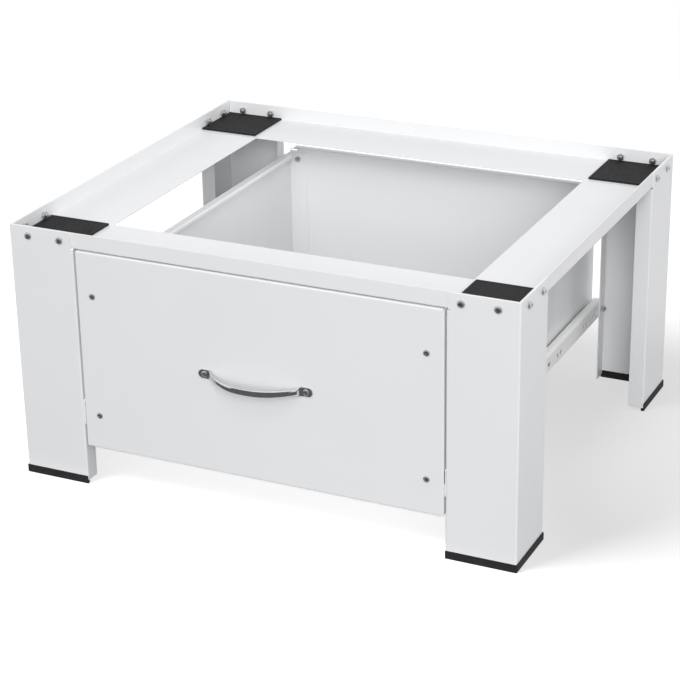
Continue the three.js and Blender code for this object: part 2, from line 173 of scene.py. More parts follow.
def plated_steel(slot, colour, roughness):
    """Zinc or chrome plate: bright, with a cloudy haze and hairlines in its roughness."""
    return surface(slot, colour, shades=(0.9, 1), cloud=(180, 3), gloss=(500, 4, 0.7),
                   roughness=roughness, relief=(700, 2), height=0.0015 * MM, Metallic=1.0)


def moulded_nylon(slot, colour):
    """Natural nylon, a little translucent and evenly satin."""
    return surface(slot, colour, shades=(0.94, 1), cloud=(120, 3), gloss=(600,),
                   roughness=(0.38, 0.5), relief=(900,), height=0.01 * MM,
                   Subsurface_Weight=0.15, Subsurface_Radius=(0.002, 0.002, 0.0015))


WHITE = coated_steel("white_powder_coat", (0.80, 0.805, 0.815), (0.32, 0.36), 0.003 * MM, 0.15)
SATIN = coated_steel("slide_epoxy_coat", (0.92, 0.92, 0.915), (0.38, 0.42), 0.002 * MM, 0.05)
RUBBER = rubber("black_rubber", (0.011, 0.011, 0.012), 0.02 * MM)
ZINC = plated_steel("zinc_plated_steel", (0.62, 0.63, 0.64), (0.36, 0.48))
CHROME = plated_steel("chromed_steel", (0.70, 0.71, 0.73), (0.08, 0.13))
NYLON = moulded_nylon("roller_nylon", (0.78, 0.77, 0.72))


# ---------------- pieces from meshes


def as_mesh(name, bm):
    """The bmesh as a mesh whose faces point out."""
    bmesh.ops.recalc_face_normals(bm, faces=bm.faces)
    mesh = bpy.data.meshes.new(name)
    bm.to_mesh(mesh)
    bm.free()
    return mesh


def place_mesh(name, mesh, material, body, nodes=(), edge=0.0, crease=35, matrix=None):
    """A piece of this mesh that rides on a body and stands for some CAD nodes. Its edges that are
    sharper than the crease angle are softened to a width."""
    mesh.shade_smooth()
    mesh.set_sharp_from_angle(angle=math.radians(crease))
    if not mesh.materials:
        mesh.materials.append(material)
    piece = new_object(name, mesh)
    if matrix is not None:
        piece.matrix_world = matrix
    if edge:
        bevel = piece.modifiers.new("edges", "BEVEL")
        bevel.width = edge
        bevel.segments = 2
        bevel.limit_method = "ANGLE"
        bevel.angle_limit = math.radians(crease)
    weighted = piece.modifiers.new("shading", "WEIGHTED_NORMAL")
    weighted.keep_sharp = True
    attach(piece, body)
    if nodes:
        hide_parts(*nodes)


def finish_piece(name, bm, material, body, nodes=(), edge=0.0, crease=35):
    """A piece like those of place_mesh, from a bmesh that is already in its place."""
    place_mesh(name, as_mesh(name, bm), material, body, nodes, edge, crease)


def mirror(bm, sign_x, sign_y=1):
    """Mirrors a right-hand back piece about the YZ and XZ planes of the stand."""
    for vertex in bm.verts:
        vertex.co.x *= sign_x
        if sign_y < 0:
            vertex.co.y = 2 * MIDDLE_Y - vertex.co.y
    return bm


# ---------------- bent sheets


def bent_line(corners, radius, sheet, side=1):
    """Samples along a sheet's outer line, its corners rounded as bends.

    Each sample is a point and the direction in which the sheet's thickness lies, on the left of
    the way for side 1 and on its right for side -1. radius is each bend's outer radius, or a dict
    with the radius of each corner that differs from the one under None.
    """
    points = [Vector(corner) for corner in corners]
    samples = []
    radii = radius if isinstance(radius, dict) else {None: radius}
    for index, point in enumerate(points):
        before = (point - points[index - 1]).normalized() if index else None
        after = (points[index + 1] - point).normalized() if index + 1 < len(points) else None
        way = before or after
        turn = 0.0
        if before and after:
            turn = math.atan2(before.x * after.y - before.y * after.x, before.dot(after))
        if abs(turn) < TINY:
            samples.append((point, side * Vector((-way.y, way.x))))
            continue
        outer_radius = radii.get(index, radii[None])
        bend = outer_radius if turn * side > 0 else outer_radius - sheet
        start = point - before * bend * math.tan(abs(turn) / 2)
        left = math.copysign(1, turn)
        centre = start + Vector((-before.y, before.x)) * left * bend
        for step in range(BEND_STEPS + 1):
            out = Matrix.Rotation(turn * step / BEND_STEPS, 2) @ (start - centre)
            samples.append((centre + out, -out.normalized() * left * side))
    return samples


def straight(*values):
    """A line with no bend through these places."""
    return [(Vector((value, 0)), Vector((0, 1))) for value in values]


def is_flat(sample):
    return abs(sample[0].y) < TINY and sample[1].y > 1 - TINY


def sheet_grid(across, along, sheet, place):
    """The two skins of a sheet, bent across and along but never both ways at one place."""
    front = [[place(point, reach) for point, _ in across] for reach, _ in along]
    back = []
    for stretch in along:
        reach, inward = stretch
        if is_flat(stretch):
            back.append([place(point + sheet * normal, reach) for point, normal in across])
        else:
            back.append([place(point, reach + sheet * inward) for point, _ in across])
    return front, back


def skin(front, back, keep):
    """A closed mesh from two skins and the cells of them that are kept."""
    bm = bmesh.new()
    rows, columns = len(front), len(front[0])
    verts = {}

    def vert(side, k, i):
        key = (side, k, i)
        if key not in verts:
            verts[key] = bm.verts.new((front if side == 0 else back)[k][i])
        return verts[key]

    kept = {(k, i) for k in range(rows - 1) for i in range(columns - 1) if keep(k, i)}
    for k, i in kept:
        ring = [(k, i), (k, i + 1), (k + 1, i + 1), (k + 1, i)]
        bm.faces.new([vert(0, *corner) for corner in ring])
        bm.faces.new([vert(1, *corner) for corner in reversed(ring)])
        beyond = [(k - 1, i), (k, i + 1), (k + 1, i), (k, i - 1)]
        for index, neighbour in enumerate(beyond):
            if neighbour not in kept:
                a, b = ring[index], ring[(index + 1) % 4]
                bm.faces.new([vert(0, *b), vert(0, *a), vert(1, *a), vert(1, *b)])
    return bm


def no_double_bends(across, along):
    """Keeps the cells of a folded panel, apart from its corners, where both folds would meet."""
    def keep(k, i):
        bent_across = not (is_flat(across[i]) and is_flat(across[i + 1]))
        bent_along = not (is_flat(along[k]) and is_flat(along[k + 1]))
        return not (bent_across and bent_along)
    return keep


# ---------------- turned, lofted and cut meshes


def loft(rings, joined=False):
    """A closed mesh through rings of places, capped at both ends or joined into a loop."""
    bm = bmesh.new()
    rows = [[bm.verts.new(place) for place in ring] for ring in rings]
    for a, b in zip(rows, rows[1:] + rows[:1] if joined else rows[1:]):
        for i in range(len(a)):
            j = (i + 1) % len(a)
            bm.faces.new([a[i], a[j], b[j], b[i]])
    if not joined:
        bm.faces.new(rows[0])
        bm.faces.new(list(reversed(rows[-1])))
    return bm


def lathe(profile, segments, axis="Z"):
    """A closed turned mesh from (radius, height) points that start and end on the axis or join."""
    bm = bmesh.new()
    rings = []
    for radius, height in profile:
        count = segments if radius > TINY else 1
        rings.append([bm.verts.new((*around(radius, 2 * math.pi * index / segments), height))
                      for index in range(count)])
    pairs = list(zip(rings, rings[1:]))
    if profile[0][0] > TINY:
        pairs.append((rings[-1], rings[0]))
    for lower, upper in pairs:
        for index in range(segments):
            follower = (index + 1) % segments
            corners = [lower[index % len(lower)], lower[follower % len(lower)],
                       upper[follower % len(upper)], upper[index % len(upper)]]
            corners = list(dict.fromkeys(corners))
            if len(corners) > 2:
                bm.faces.new(corners)
    if axis == "X":
        bmesh.ops.rotate(bm, verts=bm.verts, matrix=Matrix.Rotation(math.pi / 2, 3, "Y"))
    return bm


def combine(name, target, cuts=(), joins=()):
    """The target bmesh with the joins added to it and then the cuts taken out of it."""
    body = new_object(name, as_mesh(name, target))
    tools = [(tool, "UNION") for tool in joins] + [(tool, "DIFFERENCE") for tool in cuts]
    tools = [(new_object(name, as_mesh(name, tool)), operation) for tool, operation in tools]
    for tool, operation in tools:
        modifier = body.modifiers.new("combine", "BOOLEAN")
        modifier.operation = operation
        modifier.solver = "EXACT"
        modifier.object = tool
    depsgraph = bpy.context.evaluated_depsgraph_get()
    result = bmesh.new()
    result.from_mesh(body.evaluated_get(depsgraph).to_mesh())
    for item in (body, *(tool for tool, _ in tools)):
        mesh = item.data
        bpy.data.objects.remove(item)
        bpy.data.meshes.remove(mesh)
    return result


def block(corner, opposite):
    """A box mesh between two opposite corners, as a cutting tool."""
    bm = bmesh.new()
    bmesh.ops.create_cube(bm, size=1)
    low, high = ([pick(pair) for pair in zip(corner, opposite)] for pick in (min, max))
    for vertex in bm.verts:
        vertex.co = Vector(
            (low[i] + high[i]) / 2 + vertex.co[i] * (high[i] - low[i]) for i in range(3)
        )
    return bm


def slab(outline, x_from, x_to):
    """A plate across the X axis from an outline of (y, z) points, as a tool or a tongue."""
    bm = bmesh.new()
    near, far = ([bm.verts.new((x, y, z)) for y, z in outline] for x in (x_from, x_to))
    bm.faces.new(near)
    bm.faces.new(list(reversed(far)))
    for i in range(len(outline)):
        j = (i + 1) % len(outline)
        bm.faces.new([near[j], near[i], far[i], far[j]])
    return bm


def rounded_outline(low, high, radii):
    """A rectangle between two (y, z) places with a radius for each corner, from the lower left
    round to the upper left."""
    corners = [(low[0], low[1]), (high[0], low[1]), (high[0], high[1]), (low[0], high[1])]
    outline = []
    for index, ((y, z), radius) in enumerate(zip(corners, radii)):
        centre_y = y + radius * (1 if index in (0, 3) else -1)
        centre_z = z + radius * (1 if index in (0, 1) else -1)
        for angle in quarter_turn() if radius else [0]:
            across, up = around(radius, math.pi * (1 + index / 2) + angle)
            outline.append((centre_y + across, centre_z + up))
    return outline


def corner_outline(corner, ways, radius, over, steps):
    """The outline of a cutter that rounds a sheet's corner and reaches a little over it. ways are
    the signs of the two directions that point out of the sheet there."""
    centre = [place - way * radius for place, way in zip(corner, ways)]
    beyond = [place + way * over for place, way in zip(corner, ways)]
    places = (around(radius, angle) for angle in quarter_turn(steps))
    arc = [(centre[0] + ways[0] * across, centre[1] + ways[1] * up) for across, up in places]
    return [*arc, (centre[0], beyond[1]), (beyond[0], beyond[1]), (beyond[0], centre[1])]


# ---------------- places taken from the frame

leg_low, leg_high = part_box("leg_back_right")
front_leg_low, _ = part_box("leg_front_right")
rail_low, rail_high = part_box("top_rail_back")
rail_side_low, rail_side_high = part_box("top_rail_right")
front_low, front_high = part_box("drawer_front")
side_low, side_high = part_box("drawer_side_right")
back_low, back_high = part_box("drawer_back")
channel_low, channel_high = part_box("slide_channel_right")
runner_low, runner_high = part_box("slide_runner_right")
rear_roller_low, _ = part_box("rear_roller_right")

MIDDLE_Y = (front_leg_low.y + leg_high.y) / 2
RIGHT, BACK, TOP = leg_high
LEG_INNER_X, LEG_INNER_Y, LEG_BOTTOM = leg_low
SHELF_BOTTOM = rail_low.z

CUT_OVER = 1 * MM
SHEET_EDGE = 0.25 * MM


def finish_sheet(name, bm, body, coat=WHITE, edge=SHEET_EDGE):
    """A coated sheet in the place of its CAD node."""
    finish_piece(f"{name}_sheet", bm, coat, body, [name], edge)


# ---------------- the stand

LEG_SHEET = 1.5 * MM
LEG_RETURN = 20 * MM
LEG_BEND = 1.8 * MM
RELIEF_WIDTH = 4 * MM
RELIEF_HEIGHT = 1.1 * MM

FOOT_LIP = 0.9 * MM
FOOT_ROUND = 2.4 * MM
FOOT_EDGE = 0.4 * MM
FOOT_SLACK = 0.3 * MM
MERGE_DISTANCE = 0.001 * MM

# The pad's rim is a quarter round, given as shares of its width and of its depth.
PAD_RIM = 0.5 * MM
PAD_RIM_CURVE = ((0, 1), (0.15, 0.4), (0.4, 0.15), (1, 0))
PAD_BORDER = 3.0 * MM
PAD_CREASE = 50
# A rib's crest, given as shares of the ribs' pitch and of their depth.
RIB_PITCH = 2.6 * MM
RIB_DEPTH = 0.35 * MM
RIB_CURVE = ((0.3, 1), (0.42, 0.2), (0.5, 0), (0.58, 0.2), (0.7, 1))


def make_leg(name, sign_x, sign_y):
    """One bent sheet: two outer faces, and a return along each inner edge, which ends in a relief
    slot below the top frame."""
    line = bent_line(
        [
            (LEG_INNER_X, BACK - LEG_RETURN),
            (LEG_INNER_X, BACK),
            (LEG_INNER_X + RELIEF_WIDTH, BACK),
            (RIGHT, BACK),
            (RIGHT, LEG_INNER_Y + RELIEF_WIDTH),
            (RIGHT, LEG_INNER_Y),
            (RIGHT - LEG_RETURN, LEG_INNER_Y),
        ],
        LEG_BEND, LEG_SHEET, side=-1,
    )
    heights = straight(LEG_BOTTOM, SHELF_BOTTOM - RELIEF_HEIGHT, SHELF_BOTTOM, TOP)
    front, back = sheet_grid(line, heights, LEG_SHEET, lambda p, h: Vector((p.x, p.y, h.x)))
    outer_cells = 1 + BEND_STEPS
    last = len(line) - 1

    def keep(k, i):
        beside_edge = i < outer_cells or i >= last - outer_cells
        in_relief = i == outer_cells or i == last - outer_cells - 1
        return k == 0 or not (beside_edge or (in_relief and k == 1))

    bm = mirror(skin(front, back, keep), sign_x, sign_y)
    finish_sheet(name, bm, "stand")


def make_rail(name, turned, outer, inner, half, sign):
    """An angle rail, mitred at both ends. Its outer and inner edges and its half length are taken
    from the solid; a turned rail lies along Y."""
    line = bent_line(
        [(outer, TOP), (outer, SHELF_BOTTOM), (inner, SHELF_BOTTOM)],
        LEG_BEND, LEG_SHEET, side=-1,
    )

    def place(point, end):
        reach = end.x * (half - (outer - point.x))
        across = sign * point.x
        if turned:
            return Vector((across, MIDDLE_Y + reach, point.y))
        return Vector((reach, MIDDLE_Y + across, point.y))

    bm = skin(*sheet_grid(line, straight(-1, 1), LEG_SHEET, place), lambda k, i: True)
    finish_sheet(name, bm, "stand")


def make_foot(name, sign_x, sign_y):
    """A rubber channel in an L, open at its ends and at its top, where the leg's sheet stands."""
    low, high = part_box("foot_back_right")
    wall = high.x - RIGHT
    inner = LEG_SHEET + wall
    section = [
        (-inner + FOOT_LIP, low.z), (wall - FOOT_LIP, low.z), (wall, low.z + FOOT_LIP),
        (wall, high.z - FOOT_LIP), (wall - FOOT_LIP, high.z), (0, high.z),
        (0, LEG_BOTTOM), (-LEG_SHEET, LEG_BOTTOM),
        (-LEG_SHEET, high.z), (-inner + FOOT_LIP, high.z), (-inner, high.z - FOOT_LIP),
        (-inner, low.z + FOOT_LIP),
    ]
    round_from = wall - FOOT_ROUND

    def corner_place(out, z, angle):
        """A place of the section at the corner, which is rounded towards the outer face."""
        across, up = around(max(0, out - round_from), angle)
        straight_out = min(out, round_from)
        return RIGHT + straight_out + across, BACK + straight_out + up, z

    rings = [[(low.x, BACK + out, z) for out, z in section]]
    for angle in reversed(quarter_turn()):
        rings.append([corner_place(out, z, angle) for out, z in section])
    rings.append([(RIGHT + out, low.y, z) for out, z in section])
    bm = loft(rings)
    bmesh.ops.remove_doubles(bm, verts=bm.verts, dist=MERGE_DISTANCE)
    slot_end = LEG_SHEET + FOOT_SLACK
    slot_side = -LEG_SHEET + FOOT_SLACK
    slots = [
        block((low.x - wall, BACK - inner - wall, LEG_BOTTOM),
              (low.x + slot_end, BACK + slot_side, high.z + wall)),
        block((RIGHT - inner - wall, low.y - wall, LEG_BOTTOM),
              (RIGHT + slot_side, low.y + slot_end, high.z + wall)),
    ]
    bm = mirror(combine(name, bm, slots), sign_x, sign_y)
    finish_piece(f"{name}_rubber", bm, RUBBER, "stand", [name], FOOT_EDGE)


def make_pad(name):
    """A square of rubber: a rounded rim, a plain border and fine ribs inside it."""
    low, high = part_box(name)
    top = high.z

    def places(start, end, ribbed):
        """Places along one side of the pad: each with the rim's height there, and whether it lies
        within the border."""
        edge = [(start + along * PAD_RIM, top - down * PAD_RIM, False)
                for along, down in PAD_RIM_CURVE]
        edge.append((start + PAD_BORDER, top, False))
        other = [(start + end - place, height, False) for place, height, _ in reversed(edge)]
        first, last = start + PAD_BORDER + RIB_DEPTH, end - PAD_BORDER - RIB_DEPTH
        if not ribbed:
            return [*edge, (first, top, True), (last, top, True), *other]
        count = round((last - first) / RIB_PITCH)
        step = (last - first) / count
        ribs = [(first + (index + share) * step, top - sunk * RIB_DEPTH, True)
                for index in range(count) for share, sunk in RIB_CURVE]
        ends = [(place, top - RIB_DEPTH, True) for place in (first, last)]
        return [*edge, ends[0], *ribs, ends[1], *other]

    bm = bmesh.new()
    grid = []
    for y, height_along, inside_along in places(low.y, high.y, False):
        row = []
        for x, height_across, inside_across in places(low.x, high.x, True):
            if inside_across and not inside_along:
                height_across = top
            row.append(bm.verts.new((x, y, min(height_across, height_along))))
        grid.append(row)
    for a, b in zip(grid, grid[1:]):
        for i in range(len(a) - 1):
            bm.faces.new([a[i], a[i + 1], b[i + 1], b[i]])
    rim = [*grid[0], *(row[-1] for row in grid[1:]), *reversed(grid[-1][:-1]),
           *(row[0] for row in reversed(grid[1:-1]))]
    base = [bm.verts.new((v.co.x, v.co.y, low.z)) for v in rim]
    for i in range(len(rim)):
        j = (i + 1) % len(rim)
        bm.faces.new([rim[j], rim[i], base[i], base[j]])
    bm.faces.new(base)
    finish_piece(f"{name}_rubber", bm, RUBBER, "stand", [name], crease=PAD_CREASE)


for corner, sign_x, sign_y in CORNERS:
    make_leg(f"leg_{corner}", sign_x, sign_y)
    make_foot(f"foot_{corner}", sign_x, sign_y)
    make_pad(f"pad_{corner}")

long_half = (rail_high.x - rail_low.x) / 2
short_half = (rail_side_high.y - rail_side_low.y) / 2
for name, sign in (("top_rail_back", 1), ("top_rail_front", -1)):
    make_rail(name, False, rail_high.y - MIDDLE_Y, rail_low.y - MIDDLE_Y, long_half, sign)
for name, sign in (("top_rail_right", 1), ("top_rail_left", -1)):
    make_rail(name, True, rail_side_high.x, rail_side_low.x, short_half, sign)


# ---------------- the drawer

DRAWER_SHEET = 1.0 * MM
DRAWER_BEND = 1.9 * MM
FRONT_CORNER = 4 * MM
FRONT_CORNER_OVER = 0.5 * MM
RIM_NOTCH_MARGIN = 4 * MM
RIM_NOTCH_REACH = 2.5 * MM
SIDE_FLANGE = 25 * MM
RIM_FOLD = 12 * MM
RIM_LIP = 5 * MM
RIM_END_GAP = 18 * MM
FLOOR_LEDGE = 15 * MM
HEM_INSET = 6 * MM
BACK_SLOT = 10.5 * MM
BACK_SLOT_HEIGHT = 2 * MM
FLOOR_NOTCH_LENGTH = 14 * MM
FLOOR_NOTCH_DEPTH = 3 * MM


def make_drawer_front():
    """A pan of sheet, its four rims turned back and open at the corners, with a notch in each side
    rim beside the slide's front end. The lower corners of its face are rounded."""
    rim = front_high.y - front_low.y
    across, up = (
        bent_line([(start, rim), (start, 0), (end, 0), (end, rim)], DRAWER_BEND, DRAWER_SHEET)
        for start, end in ((front_low.x, front_high.x), (front_low.z, front_high.z))
    )
    front, back = sheet_grid(
        across, up, DRAWER_SHEET,
        lambda p, q: Vector((p.x, front_low.y + p.y + q.y, q.x)),
    )
    face_back = front_low.y + DRAWER_BEND
    notch_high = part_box("slide_screw_front_right")[1].z + RIM_NOTCH_MARGIN
    rounding = corner_outline((front_high.x, front_low.z), (1, -1), FRONT_CORNER,
                              FRONT_CORNER_OVER, BEND_STEPS)
    notches, corners = [], []
    for _, sign in SIDES:
        edge = sign * front_high.x
        notches.append(block(
            (edge - RIM_NOTCH_REACH, face_back, side_low.z - RIM_NOTCH_MARGIN),
            (edge + RIM_NOTCH_REACH, front_high.y + CUT_OVER, notch_high)))
        corners.append(loft([[(sign * x, y, z) for x, z in rounding]
                             for y in (front_low.y - FRONT_CORNER_OVER, face_back)]))
    sheet = skin(front, back, no_double_bends(across, up))
    finish_sheet("drawer_front", combine("drawer_front", sheet, notches + corners), "drawer")


def make_drawer_side(name, sign_x):
    """One sheet: a web, a folded rim that stops short of the back, a ledge under the floor and a
    flange at each end."""
    low, high = side_low, side_high
    rim_end = high.y - RIM_END_GAP
    along = bent_line(
        [(low.y, SIDE_FLANGE), (low.y, 0), (rim_end, 0), (high.y, 0), (high.y, SIDE_FLANGE)],
        DRAWER_BEND, DRAWER_SHEET,
    )
    up = bent_line(
        [(low.z, FLOOR_LEDGE), (low.z, 0), (high.z, 0), (high.z, RIM_FOLD),
         (high.z - RIM_LIP, RIM_FOLD)],
        DRAWER_BEND, DRAWER_SHEET,
    )
    front, back = sheet_grid(
        along, up, DRAWER_SHEET,
        lambda p, q: Vector((high.x - p.y - q.y, p.x, q.x)),
    )
    panel = no_double_bends(along, up)

    def keep(k, i):
        place = up[k + 1][0]
        in_rim = place.y > 0 and place.x > high.z - RIM_LIP - DRAWER_BEND
        return panel(k, i) and not (in_rim and along[i + 1][0].x > rim_end)

    bm = mirror(skin(front, back, keep), sign_x)
    finish_sheet(name, bm, "drawer")


def make_drawer_back():
    """A sheet whose top edge is turned back as a hem, a little shorter than the sheet. A slot in
    from each side parts the hem from the flanges that the sheet is screwed to."""
    low, high = back_low, back_high
    hem = high.y - low.y
    up = bent_line([(low.z, 0), (high.z, 0), (high.z, hem)], DRAWER_BEND, DRAWER_SHEET)
    across = straight(low.x, low.x + HEM_INSET, high.x - HEM_INSET, high.x)
    front, back = sheet_grid(
        across, up, DRAWER_SHEET,
        lambda p, q: Vector((p.x, low.y + p.y + q.y, q.x)),
    )
    sheet = skin(front, back, lambda k, i: i == 1 or is_flat(up[k + 1]))
    slots = [
        block((sign * (high.x + CUT_OVER), low.y - CUT_OVER, side_high.z),
              (sign * (high.x - BACK_SLOT), low.y + DRAWER_SHEET + CUT_OVER,
               side_high.z + BACK_SLOT_HEIGHT))
        for _, sign in SIDES
    ]
    finish_sheet("drawer_back", combine("drawer_back", sheet, slots), "drawer")


def make_drawer_floor():
    """A sheet with its corners cut away beside the sides' end flanges."""
    low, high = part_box("drawer_floor")
    corners = [
        block((x + inward_x * FLOOR_NOTCH_LENGTH, y + inward_y * FLOOR_NOTCH_DEPTH,
               low.z - CUT_OVER),
              (x - inward_x * CUT_OVER, y - inward_y * CUT_OVER, high.z + CUT_OVER))
        for x, inward_x in ((low.x, 1), (high.x, -1))
        for y, inward_y in ((low.y, 1), (high.y, -1))
    ]
    sheet = combine("drawer_floor", block(low, high), corners)
    finish_sheet("drawer_floor", sheet, "drawer")


make_drawer_front()
make_drawer_back()
for side, sign in SIDES:
    make_drawer_side(f"drawer_side_{side}", sign)
make_drawer_floor()


# ---------------- the handle

TAB_LENGTH = 16 * MM
TAB_HEIGHT = 11 * MM
TAB_THICKNESS = 2 * MM
STRAP_HEIGHT = 8.4 * MM
STRAP_THICKNESS = 4.4 * MM
BOW_FLATNESS = 2.3
BOW_OVERLAP = 2 * MM
BAR_SIDES = 28
HANDLE_CREASE = 40

# The bow's path is smoothed over places this far apart, by these weights.
SMOOTH_PITCH = 1.2 * MM
SMOOTH_WEIGHTS = (0.1, 0.24, 0.32, 0.24, 0.1)
SLOPE_REACH = 0.2 * MM

# The section turns from the tab's to the bow's over the neck. A section is a superellipse, and
# the power is that of its cosine and sine.
NECK_OVER = 1.0 * MM
NECK_LENGTH = 4.5 * MM
TAB_POWER = 0.34
BOW_POWER = 0.94

# Sections stand at these angles round a tab's tip, at these shares of its straight part, at this
# pitch along the neck and in so many steps to the bow's middle.
TIP_ANGLES = range(4, 91, 9)
TAB_SHARES = (0.66, 0.33)
NECK_START = 1.6 * MM
NECK_PITCH = 0.8 * MM
NECK_STEPS = 10
BOW_STEPS = 14


def handle_stations(end_x, tab_x):
    """The places of the bar's sections along X, both halves alike."""
    tip = TAB_HEIGHT / 2
    places = [end_x - tip * (1 - math.sin(math.radians(angle))) for angle in TIP_ANGLES]
    places += [tab_x + share * (end_x - tip - tab_x) for share in TAB_SHARES]
    places += [tab_x + NECK_START - step * NECK_PITCH for step in range(NECK_STEPS)]
    inner = tab_x + NECK_START - NECK_STEPS * NECK_PITCH
    places += [inner * (1 - step / BOW_STEPS) for step in range(1, BOW_STEPS + 1)]
    return sorted({-x for x in places} | set(places))


def make_handle():
    """One bar: round-ended tabs that lie on the front, drawn out into a thicker oval bow."""
    low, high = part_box("handle")
    middle_z = (low.z + high.z) / 2
    end_x, tab_x = high.x, high.x - TAB_LENGTH
    half = tab_x + BOW_OVERLAP
    tab_middle_y = high.y - TAB_THICKNESS / 2
    reach = tab_middle_y - (low.y + STRAP_THICKNESS / 2)

    def path(x):
        share = min(1, abs(x) / half)
        return tab_middle_y - reach * (1 - share ** BOW_FLATNESS)

    def smooth_path(x):
        middle = len(SMOOTH_WEIGHTS) // 2
        return sum(weight * path(x + (index - middle) * SMOOTH_PITCH)
                   for index, weight in enumerate(SMOOTH_WEIGHTS))

    def on_bow(x):
        """0 on the tab and 1 on the bow."""
        share = min(1, max(0, (tab_x + NECK_OVER - abs(x)) / NECK_LENGTH))
        return share * share * (3 - 2 * share)

    def blend(tab, bow, share):
        return tab + share * (bow - tab)

    def section(x):
        share = on_bow(x)
        slope = (smooth_path(x + SLOPE_REACH) - smooth_path(x - SLOPE_REACH)) / (2 * SLOPE_REACH)
        way = Vector((1, slope)).normalized()
        height = blend(TAB_HEIGHT, STRAP_HEIGHT, share) / 2
        tip = TAB_HEIGHT / 2
        into_tip = abs(x) - (end_x - tip)
        if into_tip > 0:
            height = math.sqrt(tip * tip - into_tip * into_tip)
        depth = blend(TAB_THICKNESS, STRAP_THICKNESS, share) / 2
        power = blend(TAB_POWER, BOW_POWER, share)
        ring = []
        for step in range(BAR_SIDES):
            angle = 2 * math.pi * (step + 0.5) / BAR_SIDES
            c, s = math.cos(angle), math.sin(angle)
            out = depth * math.copysign(abs(c) ** power, c)
            up = height * math.copysign(abs(s) ** power, s)
            ring.append((x + out * way.y, smooth_path(x) - out * way.x, middle_z + up))
        return ring

    bm = loft([section(x) for x in handle_stations(end_x, tab_x)])
    for vertex in bm.verts:
        vertex.co.y = min(high.y, max(low.y, vertex.co.y))
        vertex.co.z = min(high.z, max(low.z, vertex.co.z))
    finish_piece("handle_bar", bm, CHROME, "drawer", ["handle"], crease=HANDLE_CREASE)


make_handle()


# ---------------- the roller slides

SLIDE_SHEET = 1.2 * MM
SLIDE_BEND = 2.6 * MM
SLIDE_EDGE = 0.2 * MM
CHANNEL_HEIGHT = 25 * MM
CHANNEL_DEPTH = 10 * MM
CHANNEL_LIP = 6 * MM
CHANNEL_LIP_BEND = 1.8 * MM
CHANNEL_SHOULDER = 4.2 * MM
CHANNEL_SETBACK = 18 * MM
TAB_REACH = 43 * MM
TAB_OVERLAP = 0.5 * MM
SLIDE_TAB_HEIGHT = 34 * MM
SLIDE_TAB_RADII = (5 * MM, 3 * MM, 0, 2.5 * MM)
BACK_ROUND = 6 * MM
BACK_ROUND_STEPS = 10

# The slots in the channel's web: their places along it from the stand's middle, and lengths, in
# millimetres.
CHANNEL_SLOTS = ((62, 9), (93, 7), (105, 7), (192, 7), (203, 7), (227, 6), (241, 9))
CHANNEL_SLOT_HEIGHT = 5.5 * MM
ROUND_END = 0.499
SLOT_REACH = 4 * MM

# The tongue that stops the rear roller when the drawer is all the way out.
DRAWER_TRAVEL = 390 * MM
STOP_HEIGHT = 3 * MM
STOP_LENGTH = 4 * MM
STOP_GAP = 1 * MM
STOP_ROUND = 1.2 * MM
STOP_SINK = 0.3 * MM
STOP_INSET = 0.6 * MM

RUNNER_TRACK = 23 * MM
RUNNER_FLANGE = 9 * MM
RUNNER_BEND = 2.0 * MM
TRACK_GAP = 3 * MM
EAR_LENGTH = 31 * MM
EAR_RISE = 4 * MM
EAR_ROUND = 6 * MM


def slot_tool(y, z, x, length, height):
    """A cutter for a slot with round ends in a sheet across the X axis."""
    outline = rounded_outline((y - length / 2, z - height / 2), (y + length / 2, z + height / 2),
                              [min(length, height) * ROUND_END] * 4)
    return slab(outline, x - SLOT_REACH, x + SLOT_REACH)


def make_channel(name, sign_x):
    """A channel bent from one sheet, open towards the drawer, with slots in its web, a tab at the
    front for the roller's axle and a tongue that stops the rear roller."""
    low, high = channel_low, channel_high
    web, top, bottom = high.x, high.z, high.z - CHANNEL_HEIGHT
    mouth = web - CHANNEL_DEPTH
    front, flange_front, back = low.y + CHANNEL_SETBACK, low.y + TAB_REACH, high.y
    tab_top = low.z + SLIDE_TAB_HEIGHT
    line = bent_line(
        [(mouth, top - CHANNEL_LIP), (mouth, top), (web, top), (web, tab_top), (web, bottom),
         (mouth, bottom)],
        {None: SLIDE_BEND, 1: CHANNEL_LIP_BEND, 2: CHANNEL_SHOULDER}, SLIDE_SHEET, side=-1,
    )
    tab_row = next(i for i, (point, _) in enumerate(line) if abs(point.y - tab_top) < TINY)
    grid = sheet_grid(line, straight(front, flange_front, back), SLIDE_SHEET,
                      lambda p, y: Vector((p.x, y.x, p.y)))
    body = skin(*grid, lambda k, i: k == 1 or i < tab_row)
    tab = slab(rounded_outline((low.y, low.z), (flange_front + TAB_OVERLAP, tab_top),
                               SLIDE_TAB_RADII), web - SLIDE_SHEET, web)
    stop_back = rear_roller_low.y - DRAWER_TRAVEL - STOP_GAP
    stop = slab(rounded_outline((stop_back - STOP_LENGTH, bottom + STOP_SINK),
                                (stop_back, bottom + SLIDE_SHEET + STOP_HEIGHT),
                                (0, 0, STOP_ROUND, STOP_ROUND)),
                rear_roller_low.x, web - STOP_INSET)
    slot_z = sum(corner.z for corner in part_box("slide_screw_back_right")) / 2
    cuts = [slot_tool(MIDDLE_Y + y * MM, slot_z, web, length * MM, CHANNEL_SLOT_HEIGHT)
            for y, length in CHANNEL_SLOTS]
    cuts.append(slab(corner_outline((back, top), (1, 1), BACK_ROUND, CUT_OVER, BACK_ROUND_STEPS),
                     mouth - CUT_OVER, web + CUT_OVER))
    bm = combine(name, body, cuts, [tab, stop])
    finish_sheet(name, mirror(bm, sign_x), "stand", SATIN, SLIDE_EDGE)


